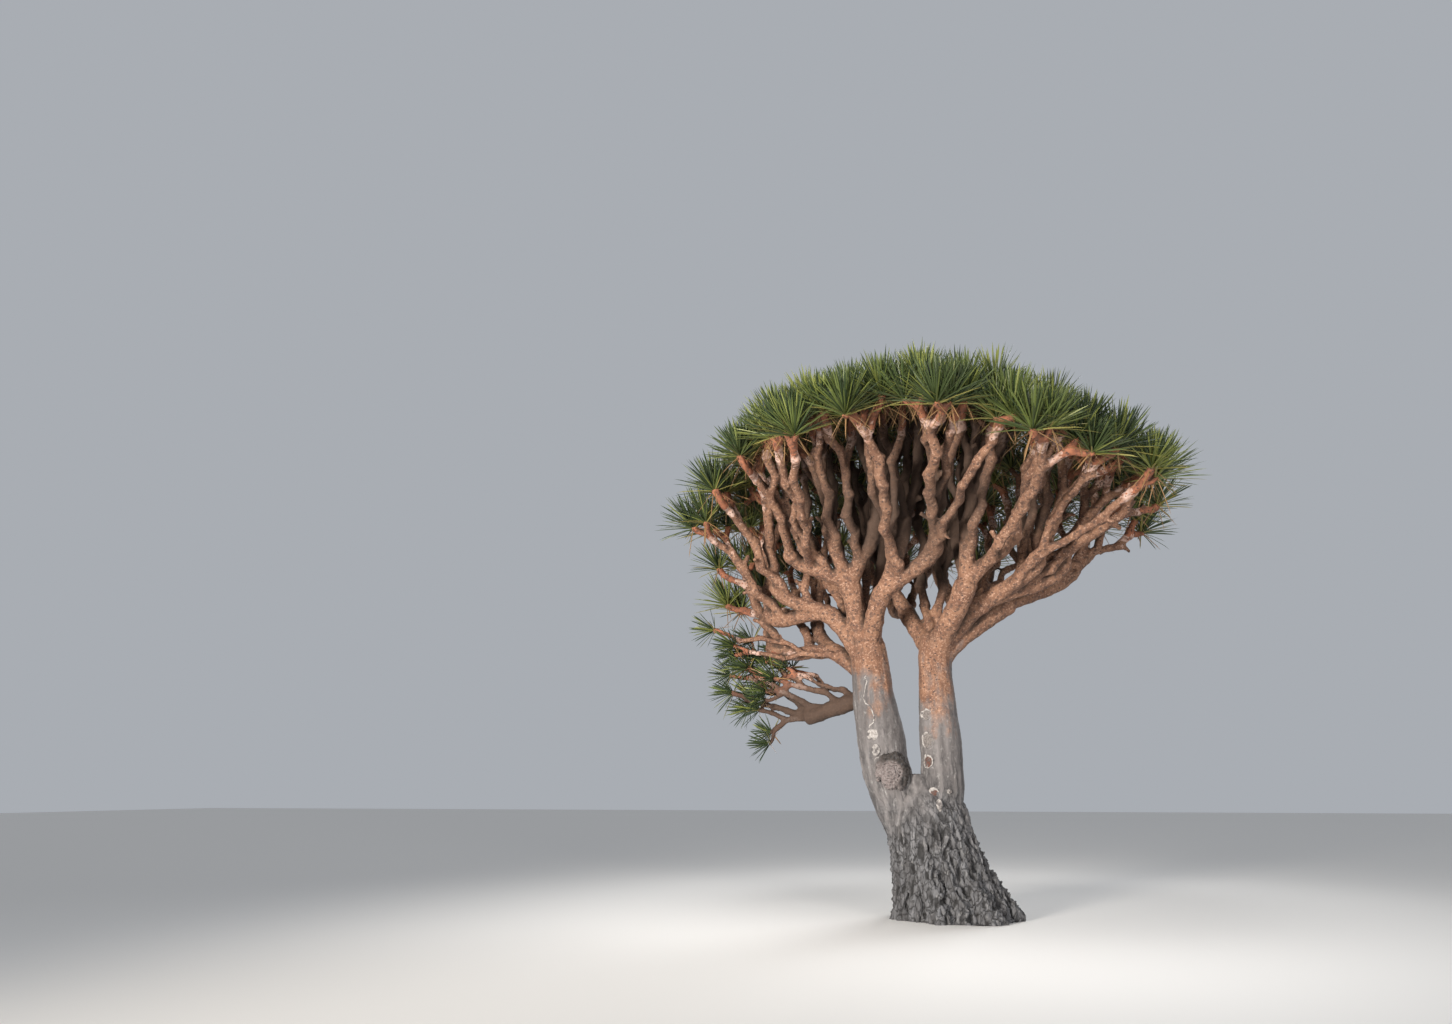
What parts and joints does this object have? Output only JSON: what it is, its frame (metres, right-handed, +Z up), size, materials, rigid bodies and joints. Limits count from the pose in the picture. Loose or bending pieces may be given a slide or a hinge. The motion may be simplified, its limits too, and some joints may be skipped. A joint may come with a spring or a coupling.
{
  "type": "dragon blood tree",
  "caption": "Umbrella shaped tree: flared leaning trunk, twin stems, boughs that fork again and again, and a dome of sword leaf rosettes.",
  "frame": {"origin": "middle of the flat cut under the trunk, at ground level", "axes": "+Z up along the trunk, +X to the right and +Y away from the viewer as the tree is pictured"},
  "size_m": [5.1052, 5.2223, 5.1121],
  "materials": {
    "bark": "rough furrowed grey brown bark with pale scars",
    "bough_bark": "scaly reddish tan bark",
    "foliage": "stiff satin green sword leaves on reddish twigs"
  },
  "bodies": {
    "root": {"trunk": "bark", "left_stem": "bark", "right_stem": "bark", "bough_crown_top": "bough_bark", "bough_far_right": "bough_bark", "bough_far_right_outer": "bough_bark", "bough_far_right_rear": "bough_bark", "bough_front_left": "bough_bark", "bough_front_left_inner": "bough_bark", "bough_front_left_outer": "bough_bark", "bough_front_left_top": "bough_bark", "bough_front_mid": "bough_bark", "bough_front_mid_low": "bough_bark", "bough_front_mid_top": "bough_bark", "bough_front_right": "bough_bark", "bough_front_right_outer": "bough_bark", "bough_front_right_top": "bough_bark", "bough_left": "bough_bark", "bough_left_outer": "bough_bark", "bough_left_rear": "bough_bark", "bough_low": "bough_bark", "bough_rear": "bough_bark", "bough_rear_left": "bough_bark", "bough_rear_left_high": "bough_bark", "bough_rear_left_low": "bough_bark", "bough_rear_mid": "bough_bark", "bough_rear_mid_outer": "bough_bark", "bough_rear_mid_top": "bough_bark", "bough_rear_outer": "bough_bark", "bough_rear_right": "bough_bark", "bough_rear_right_outer": "bough_bark", "bough_rear_right_top": "bough_bark", "bough_rear_top": "bough_bark", "bough_right": "bough_bark", "bough_right_lower": "bough_bark", "bough_right_upper": "bough_bark", "foliage_crown_top": "foliage", "foliage_far_right_outer": "foliage", "foliage_far_right_rear": "foliage", "foliage_front_left_inner": "foliage", "foliage_front_left_outer": "foliage", "foliage_front_left_top": "foliage", "foliage_front_mid_low": "foliage", "foliage_front_mid_top": "foliage", "foliage_front_right_outer": "foliage", "foliage_front_right_top": "foliage", "foliage_left_outer": "foliage", "foliage_left_rear": "foliage", "foliage_low": "foliage", "foliage_rear_left_high": "foliage", "foliage_rear_left_low": "foliage", "foliage_rear_mid_outer": "foliage", "foliage_rear_mid_top": "foliage", "foliage_rear_outer": "foliage", "foliage_rear_right_outer": "foliage", "foliage_rear_right_top": "foliage", "foliage_rear_top": "foliage", "foliage_right_lower": "foliage", "foliage_right_upper": "foliage"}
  },
  "joints": []
}
